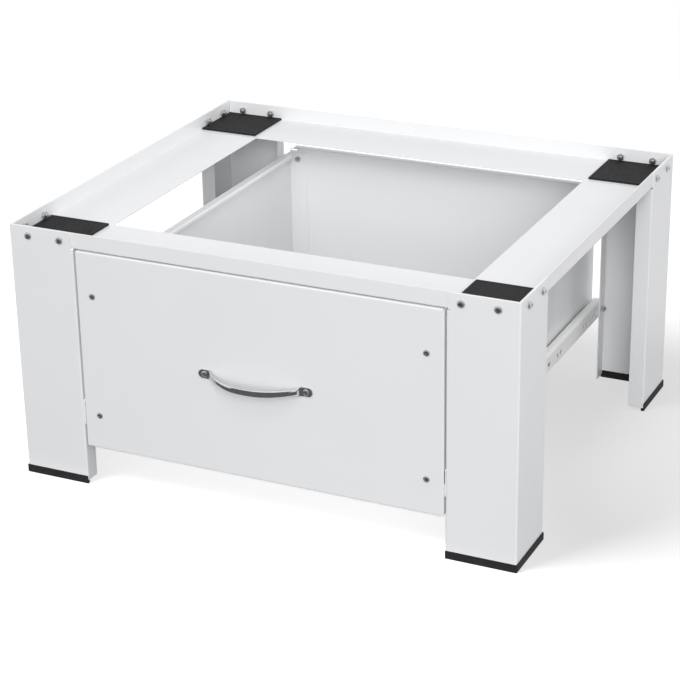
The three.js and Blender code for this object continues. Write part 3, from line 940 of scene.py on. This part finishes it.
def make_runner(name, sign_x):
    """A rail bent from one sheet: a ledge under the box, a web and a flange that runs on the front
    roller. An ear at its back end carries the rear roller."""
    low, high = runner_low, runner_high
    web = side_high.x + SLIDE_SHEET
    track_under = side_low.z - SLIDE_SHEET + RUNNER_TRACK
    edge = side_high.x + RUNNER_FLANGE
    line = bent_line(
        [(low.x, low.z), (web, low.z), (web, track_under), (edge, track_under)],
        {None: SLIDE_BEND, 1: RUNNER_BEND}, SLIDE_SHEET,
    )
    grid = sheet_grid(line, straight(low.y, rear_roller_low.y - TRACK_GAP, high.y), SLIDE_SHEET,
                      lambda p, y: Vector((p.x, y.x, p.y)))
    ledge_and_web = 1 + BEND_STEPS + 1
    body = skin(*grid, lambda k, i: k == 0 or i < ledge_and_web)
    ear = slab(rounded_outline((high.y - EAR_LENGTH, low.z + EAR_RISE), (high.y, high.z),
                               (0, 0, EAR_ROUND, EAR_ROUND)), web - SLIDE_SHEET, web)
    bm = combine(name, body, (), [ear])
    finish_sheet(name, mirror(bm, sign_x), "drawer", SATIN, SLIDE_EDGE)


# A roller: its hub's wall, the depth of its tread, how far its web lies back from its faces, the
# width of the slopes down to the web and the rounding of the tread's edge.
HUB_WALL = 1.9 * MM
TREAD_DEPTH = 2.4 * MM
WEB_SETBACK = 0.9 * MM
WEB_SLOPE = 0.4 * MM
TREAD_EDGE = 0.8 * MM
TREAD_EDGE_BULGE = 0.3
ROLLER_SIDES = 48
BORE_GAP = 0.3 * MM

AXLE_RADIUS = 2.5 * MM
AXLE_CAP = 0.8 * MM
FRONT_CAP_RADIUS = 4 * MM
REAR_CAP_RADIUS = 3.4 * MM
# The cap's dome, as shares of its radius and of its height.
AXLE_DOME = ((0, 1), (0.6, 1), (0.9, 0.6), (1, 0.15), (1, 0))
AXLE_SIDES = 28
METAL_CREASE = 30


def roller_profile(radius, half, bore):
    """The outline of a turned roller: a rounded tread, a thinner web and a hub at the bore."""
    hub, rim, bulge = bore + HUB_WALL, radius - TREAD_DEPTH, TREAD_EDGE * TREAD_EDGE_BULGE
    side = [(bore, half), (hub, half), (hub + WEB_SLOPE, half - WEB_SETBACK),
            (rim - WEB_SLOPE, half - WEB_SETBACK), (rim, half), (radius - TREAD_EDGE, half),
            (radius - bulge, half - bulge), (radius, half - TREAD_EDGE)]
    return side + [(r, -h) for r, h in reversed(side)]


def axle_mesh(name, length, cap_radius):
    """A riveted axle along +X with a domed head at its start."""
    dome = [(cap_radius * out, -AXLE_CAP * up) for out, up in AXLE_DOME]
    shaft = [(AXLE_RADIUS, 0), (AXLE_RADIUS, length), (0, length)]
    return as_mesh(name, lathe([*dome, *shaft], AXLE_SIDES, "X"))


def make_rollers():
    """The four rollers and their axles. All share one roller mesh."""
    low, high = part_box("front_roller_right")
    profile = roller_profile((high.z - low.z) / 2, (high.x - low.x) / 2, AXLE_RADIUS + BORE_GAP)
    roller = as_mesh("roller", lathe(profile, ROLLER_SIDES, "X"))
    starts = {"front": channel_low.x + AXLE_CAP, "rear": runner_high.x - AXLE_CAP}
    front_length = channel_high.x - SLIDE_SHEET - starts["front"]
    rear_length = starts["rear"] - side_high.x - SLIDE_SHEET
    axles = {"front": axle_mesh("front_axle", front_length, FRONT_CAP_RADIUS),
             "rear": axle_mesh("rear_axle", rear_length, REAR_CAP_RADIUS)}
    half_turn = Matrix.Rotation(math.pi, 4, "Z")
    for side, sign in SIDES:
        for end, body in (("front", "stand"), ("rear", "drawer")):
            name = f"{end}_roller_{side}"
            low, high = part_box(name)
            centre = (low + high) / 2
            turn = half_turn if sign < 0 else Matrix.Identity(4)
            place_mesh(f"{name}_nylon", roller, NYLON, name, [name], crease=METAL_CREASE,
                       matrix=Matrix.Translation(centre) @ turn)
            place = Matrix.Translation((sign * starts[end], centre.y, centre.z)) @ turn
            if end == "rear":
                place = place @ half_turn
            place_mesh(f"{end}_axle_{side}", axles[end], ZINC, body, crease=METAL_CREASE,
                       matrix=place)


for side, sign in SIDES:
    make_channel(f"slide_channel_{side}", sign)
    make_runner(f"slide_runner_{side}", sign)
make_rollers()


# ---------------- bolts, screws and nuts

THREAD_SIDES = 20
THREAD_ROWS_A_TURN = 6
THREAD_DEPTH = 0.5
THREAD_TIP = 0.72
ROD_SINK = 0.4 * MM

HEAD_SIDES = 32
HEAD_LIP = 0.25 * MM
HEAD_RIM = 0.22
HEAD_POWER = 0.85
DOME_ANGLES = range(10, 90, 10)

# A cross recess: each wing's half length and half width as shares of the head's radius, its depth
# as a share of the head's height, and how far it narrows towards its bottom.
WING_LENGTH = 0.56
WING_WIDTH = 0.145
WING_DEPTH = 0.72
WING_OVER = 0.1 * MM
WING_END_TAPER = 0.42
WING_SIDE_TAPER = 0.75

NUT_STEPS = 48
NUT_FACE = 0.95
NUT_CHAMFER = math.radians(30)
NUT_CREASE = 20


def threaded_rod(radius, pitch, low, high):
    """A closed rod along Z with a helical thread, its tip at low rounded off."""
    depth = pitch * THREAD_DEPTH
    rows = max(2, round((high - low) / pitch * THREAD_ROWS_A_TURN))
    rings = []
    for row in range(rows + 1):
        z = low + (high - low) * row / rows
        ring = []
        for side in range(THREAD_SIDES):
            turn = side / THREAD_SIDES
            wave = abs(2 * ((z / pitch - turn) % 1) - 1)
            r = min(radius - depth * wave, radius * THREAD_TIP + (z - low))
            ring.append((*around(r, 2 * math.pi * turn), z))
        rings.append(ring)
    return loft(rings)


def wing(half_length, half_width, top, depth, turned):
    """One tapered wing of a cross recess."""
    bm = bmesh.new()
    bmesh.ops.create_cube(bm, size=2)
    for vertex in bm.verts:
        x, y, z = vertex.co
        at_top = z > 0
        x *= half_length * (1 if at_top else WING_END_TAPER)
        y *= half_width * (1 if at_top else WING_SIDE_TAPER)
        if turned:
            x, y = -y, x
        vertex.co = (x, y, top if at_top else top - depth)
    return bm


def screw_mesh(name, radius, height, shank_radius, length, pitch):
    """A pan-head screw along Z with a cross recess; its origin is where the head bears."""
    rim = height * HEAD_RIM
    dome = [(radius * math.cos(a) ** HEAD_POWER, rim + (height - rim) * math.sin(a))
            for a in map(math.radians, DOME_ANGLES)]
    profile = [(0, 0), (radius - HEAD_LIP, 0), (radius, HEAD_LIP), (radius, rim), *dome,
               (0, height)]
    wings = [wing(radius * WING_LENGTH, radius * WING_WIDTH, height + WING_OVER,
                  height * WING_DEPTH, turned) for turned in (False, True)]
    mesh = as_mesh(name, combine(name, lathe(profile, HEAD_SIDES), wings))
    rod = as_mesh(f"{name}_rod", threaded_rod(shank_radius, pitch, -length, ROD_SINK))
    joined = bmesh.new()
    joined.from_mesh(mesh)
    joined.from_mesh(rod)
    bpy.data.meshes.remove(rod)
    joined.to_mesh(mesh)
    joined.free()
    return mesh


def nut_mesh(name, across_flats, height, bore):
    """A hexagon nut along Z, its corners turned off at both faces."""
    flat = across_flats / 2
    face = flat * NUT_FACE
    rings = []
    for level in ("bore_low", "face_low", "side_low", "side_high", "face_high", "bore_high"):
        ring = []
        for step in range(NUT_STEPS):
            angle = 2 * math.pi * step / NUT_STEPS
            from_flat = (angle % (math.pi / 3)) - math.pi / 6
            corner = flat / math.cos(from_flat)
            chamfer = (corner - face) * math.tan(NUT_CHAMFER)
            radius = {"bore": bore, "face": face, "side": corner}[level.split("_")[0]]
            z = chamfer if level.startswith("side") else 0
            if level.endswith("high"):
                z = height - z
            ring.append((*around(radius, angle), z))
        rings.append(ring)
    return as_mesh(name, loft(rings, joined=True))


def looking(place, direction):
    """A placing of a mesh whose Z axis turns to a direction."""
    turn = Vector(direction).to_track_quat("Z", "Y").to_matrix().to_4x4()
    return Matrix.Translation(place) @ turn


def spin_of(name):
    """A fixed turn about Z from a name, so that no two neighbouring screws stand alike."""
    number = sum((index + 3) * ord(letter) for index, letter in enumerate(name))
    return Matrix.Rotation(math.radians((number * 37) % 90), 4, "Z")


def place_fastener(node, axis, sign, kind, grip, body):
    """A screw in the place of its CAD node, and a nut on its inner end behind the sheets."""
    screw, nut, head_height = FASTENERS[kind]
    low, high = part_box(node)
    place = (low + high) / 2
    place[axis] = (high if sign > 0 else low)[axis] - sign * head_height
    direction = Vector((0, 0, 0))
    direction[axis] = sign
    place_mesh(f"{node}_metal", screw, ZINC, body, [node], crease=METAL_CREASE,
               matrix=looking(place, direction) @ spin_of(node))
    place_mesh(f"{node}_nut", nut, ZINC, body, crease=NUT_CREASE,
               matrix=looking(place - direction * grip, -direction) @ spin_of(node))


# Of each kind: the screw's mesh, its nut's mesh and the height of its head.
FASTENERS = {
    "bolt": (screw_mesh("corner_bolt", 4.5 * MM, 3.2 * MM, 2.5 * MM, 9 * MM, 0.8 * MM),
             nut_mesh("bolt_nut", 8 * MM, 4 * MM, 2.3 * MM), 3.2 * MM),
    "slide": (screw_mesh("slide_screw", 3.4 * MM, 2.2 * MM, 2.0 * MM, 8 * MM, 0.7 * MM),
              nut_mesh("slide_nut", 7 * MM, 3.2 * MM, 1.8 * MM), 2.2 * MM),
    "panel": (screw_mesh("panel_screw", 3.9 * MM, 2.2 * MM, 2.0 * MM, 8 * MM, 0.7 * MM),
              nut_mesh("panel_nut", 7 * MM, 3.2 * MM, 1.8 * MM), 2.2 * MM),
}
CORNER_GRIP = 3.0 * MM
SLIDE_GRIP = 2.7 * MM
PANEL_GRIP = 2.0 * MM
HANDLE_GRIP = 3.0 * MM

for corner, sign_x, sign_y in CORNERS:
    for index in (1, 2):
        place_fastener(f"corner_bolt_{corner}_x{index}", 0, sign_x, "bolt", CORNER_GRIP, "stand")
        place_fastener(f"corner_bolt_{corner}_y{index}", 1, sign_y, "bolt", CORNER_GRIP, "stand")
for side, sign in SIDES:
    for end in ("front", "back"):
        place_fastener(f"slide_screw_{end}_{side}", 0, -sign, "slide", SLIDE_GRIP, "stand")
    for level in ("bottom", "top"):
        place_fastener(f"front_screw_{level}_{side}", 1, -1, "panel", PANEL_GRIP, "drawer")
        place_fastener(f"back_screw_{level}_{side}", 1, 1, "panel", PANEL_GRIP, "drawer")
    place_fastener(f"handle_screw_{side}", 1, -1, "panel", HANDLE_GRIP, "drawer")


# ---------------- floor and backdrop

FLOOR_RADIUS = 12
FLOOR_SIDES = 96
FLOOR_ROUGHNESS = 0.9

# The floor's colour for the light that it throws back at the object, and two parts of what the
# camera sees near the stand: its own white, and its share of the floor lamps' light. Between the
# distances of the fade, in metres, it all turns to its own white.
FLOOR_COLOUR = 0.04
FLOOR_OWN = 0.625
FLOOR_SHARE = 0.175
FLOOR_FADE = (0.8, 2.4)

AMBIENT = 0.54
AMBIENT_COLOUR = (0.985, 0.99, 1.0, 1)

# The dark screen, a painted reflection of a dark room: its two ends in X, the line where it starts
# on the floor before the stand, the line where it rises, its heights, its gap beside the stand and
# the brightness of its glow.
FLAG_ENDS = (-2.6, 3.2)
FLAG_NEAR = -0.275
FLAG_FAR = -2.6
FLAG_LIFT = 0.004
FLAG_TOP = 1.8
FLAG_GAP = 0.03
FLAG_LEVEL = 0.14


def grey(level):
    return (level, level, level, 1)


def glow(tree, level):
    """White light of this strength."""
    return add(tree, "ShaderNodeEmission", Color=grey(1), Strength=level).outputs[0]


def join(tree, kind, *sources, **values):
    """A new node that takes these outputs in the order of its inputs."""
    node = add(tree, kind, **values)
    for source, target in zip(sources, node.inputs):
        tree.links.new(source, target)
    return node


def visible_ray(tree):
    """1 for the rays that show a backdrop: those from the camera, in a mirror or through glass."""
    path = add(tree, "ShaderNodeLightPath").outputs
    value = path["Is Camera Ray"]
    for kind in ("Is Glossy Ray", "Is Transmission Ray"):
        value = join(tree, "ShaderNodeMath", value, path[kind], operation="MAXIMUM").outputs[0]
    return value


def far_from_middle(tree):
    """0 on the floor round the stand, rising to 1 where the floor is all backdrop."""
    place = add(tree, "ShaderNodeTexCoord").outputs["Object"]
    away = join(tree, "ShaderNodeVectorMath", place, operation="LENGTH").outputs["Value"]
    return map_range(tree, away, FLOOR_FADE, (0, 1), "SMOOTHSTEP")


def show(tree, output, share, first, second):
    """Sends a blend of two shaders to an output node: the second one where the share is 1."""
    mixed = join(tree, "ShaderNodeMixShader", share, first, second)
    fill(tree.nodes[output], Surface=mixed.outputs[0])


def stage_object(name, bm, material):
    """A part of the studio, which isn't part of the object."""
    mesh = bpy.data.meshes.new(name)
    bm.to_mesh(mesh)
    bm.free()
    mesh.materials.append(material)
    item = new_object(name, mesh)
    return item


def make_floor():
    """A white floor that keeps the object's shadow. To the camera, and in reflections, part of its
    white is its own, so that it is as white as the backdrop where nothing shades it."""
    bm = bmesh.new()
    bmesh.ops.create_circle(bm, cap_ends=True, radius=FLOOR_RADIUS, segments=FLOOR_SIDES)
    material, shader = new_material("floor_paper")
    fill(shader, Roughness=FLOOR_ROUGHNESS, Specular_IOR_Level=0.0, Base_Color=grey(FLOOR_COLOUR))
    tree = material.node_tree
    paper = add(tree, "ShaderNodeBsdfDiffuse", Color=grey(FLOOR_SHARE))
    near = join(tree, "ShaderNodeAddShader", glow(tree, FLOOR_OWN), paper.outputs[0])
    shown = join(tree, "ShaderNodeMixShader", far_from_middle(tree), near.outputs[0], glow(tree, 1))
    show(tree, "Material Output", visible_ray(tree), shader.outputs[0], shown.outputs[0])
    return stage_object("floor", bm, material)


def make_world():
    """Even ambient light, with a plain white backdrop for the camera and for reflections."""
    world = bpy.data.worlds.new("studio")
    bpy.context.scene.world = world
    world.use_nodes = True
    tree = world.node_tree
    ambient = fill(tree.nodes["Background"], Color=AMBIENT_COLOUR, Strength=AMBIENT)
    backdrop = add(tree, "ShaderNodeBackground", Color=grey(1), Strength=1)
    show(tree, "World Output", visible_ray(tree), ambient.outputs[0], backdrop.outputs[0])


def make_flag():
    """A dark screen on the floor, before the stand and beside it, and up in front of it. It glows
    faintly and shows only in reflections, a painted reflection that gives the plated bars and heads
    the dark side of a room."""
    start, beside = FLAG_ENDS[0], -RIGHT - FLAG_GAP
    bm = bmesh.new()
    profile = [(FLAG_NEAR, FLAG_LIFT), (FLAG_FAR, FLAG_LIFT), (FLAG_FAR, FLAG_TOP)]
    rows = [[bm.verts.new((x, y, z)) for x in FLAG_ENDS] for y, z in profile]
    for lower, upper in zip(rows, rows[1:]):
        bm.faces.new([lower[0], lower[1], upper[1], upper[0]])
    wing_corners = [(start, FLAG_NEAR), (beside, FLAG_NEAR), (beside, 0), (start, 0)]
    bm.faces.new([bm.verts.new((x, y, FLAG_LIFT)) for x, y in wing_corners])
    material, _ = new_material("flag_reflection_glow")
    tree = material.node_tree
    # Painted reflection: a faint, even glow that stands in for a dark room and is seen only in
    # reflections.
    fill(tree.nodes["Material Output"], Surface=glow(tree, FLAG_LEVEL))
    flag = stage_object("flag", bm, material)
    for ray in ("camera", "diffuse", "transmission", "volume_scatter", "shadow"):
        setattr(flag, f"visible_{ray}", False)


# ---------------- lamps and camera

# Each lamp: its name, the way to it from its target, its distance and size in metres, its power in
# watts, and whether it shows in reflections.
LAMPS = (
    ("front", (0.385, -0.83, 0.40), 7.0, 3.2, 264, False),
    ("right", (1.0, -0.15, 0.35), 6.0, 3.2, 25, False),
    ("right_back", (0.97, 0.26, 0.36), 6.0, 3.2, 57, False),
    ("back_left", (-0.75, 0.75, 0.14), 7.0, 3.2, 270, False),
    ("overhead", (0.0, -0.1, 1.0), 4.0, 2.6, 6, True),
    ("high_front", (0.1, -0.75, 0.70), 7.0, 3.6, 117, False),
)
FLOOR_KEY = ("floor_key", (-0.42, -0.43, 0.80), 6.0, 3.0, 1320, False)
LAMP_TARGET = Vector((0, 0, 0.15))

# The floor's second lamp shines along the camera's view at the floor before the stand.
SPOT_AHEAD = 0.2
SPOT_HALF_ANGLE = math.radians(8)
SPOT_POWER = 900
SPOT_SIZE = 0.05

CAMERA_PLACE = Vector((1.00942, MIDDLE_Y - 2.16023, 1.13447))
CAMERA_ANGLES = (-25.541, 23.050, -1.003)
CAMERA_LENS = 110.594
CAMERA_SENSOR = 36


def place_lamp(name, data, way, distance, target, receivers):
    """Puts a lamp at a distance from its target, looking at it, to light only some objects."""
    lamp = new_object(name, data)
    way = Vector(way).normalized()
    lamp.location = target + way * distance
    lamp.rotation_mode = "QUATERNION"
    lamp.rotation_quaternion = (-way).to_track_quat("-Z", "Y")
    lamp.light_linking.receiver_collection = receivers
    return lamp


def add_softbox(name, way, distance, size, power, reflected, receivers):
    """A square lamp that looks at the stand from a direction."""
    data = bpy.data.lights.new(name, "AREA")
    data.shape = "SQUARE"
    data.size = size
    data.energy = power
    lamp = place_lamp(name, data, way, distance, LAMP_TARGET, receivers)
    lamp.visible_glossy = reflected


def add_floor_spot(receivers):
    """A round lamp with a soft-edged cone, at the camera, which whitens the floor in its view."""
    data = bpy.data.lights.new("floor_spot", "SPOT")
    data.energy = SPOT_POWER
    data.spot_size = 2 * SPOT_HALF_ANGLE
    data.spot_blend = 1.0
    data.shadow_soft_size = SPOT_SIZE
    target = Vector((0, MIDDLE_Y - SPOT_AHEAD, 0))
    way = CAMERA_PLACE - target
    place_lamp("floor_spot", data, way, way.length, target, receivers)


def make_camera():
    """The photograph's view: place and angles fitted to the corners of the stand."""
    data = bpy.data.cameras.new("camera")
    data.lens = CAMERA_LENS
    data.sensor_width = CAMERA_SENSOR
    camera = new_object("camera", data)
    yaw, pitch, roll = (math.radians(angle) for angle in CAMERA_ANGLES)
    camera.matrix_world = (
        Matrix.Translation(CAMERA_PLACE) @ Matrix.Rotation(-yaw, 4, "Z")
        @ Matrix.Rotation(math.pi / 2 - pitch, 4, "X") @ Matrix.Rotation(roll, 4, "Z")
    )
    bpy.context.scene.camera = camera


floor = make_floor()
make_world()
floor_only = bpy.data.collections.new("floor_only")
floor_only.objects.link(floor)
pieces_only = bpy.data.collections.new("pieces_only")
for item in bpy.context.scene.objects:
    if item.type == "MESH" and item is not floor:
        pieces_only.objects.link(item)
for lamp in LAMPS:
    add_softbox(*lamp, pieces_only)
make_flag()
add_softbox(*FLOOR_KEY, floor_only)
add_floor_spot(floor_only)
make_camera()

scene = bpy.context.scene
scene.view_settings.view_transform = "Standard"
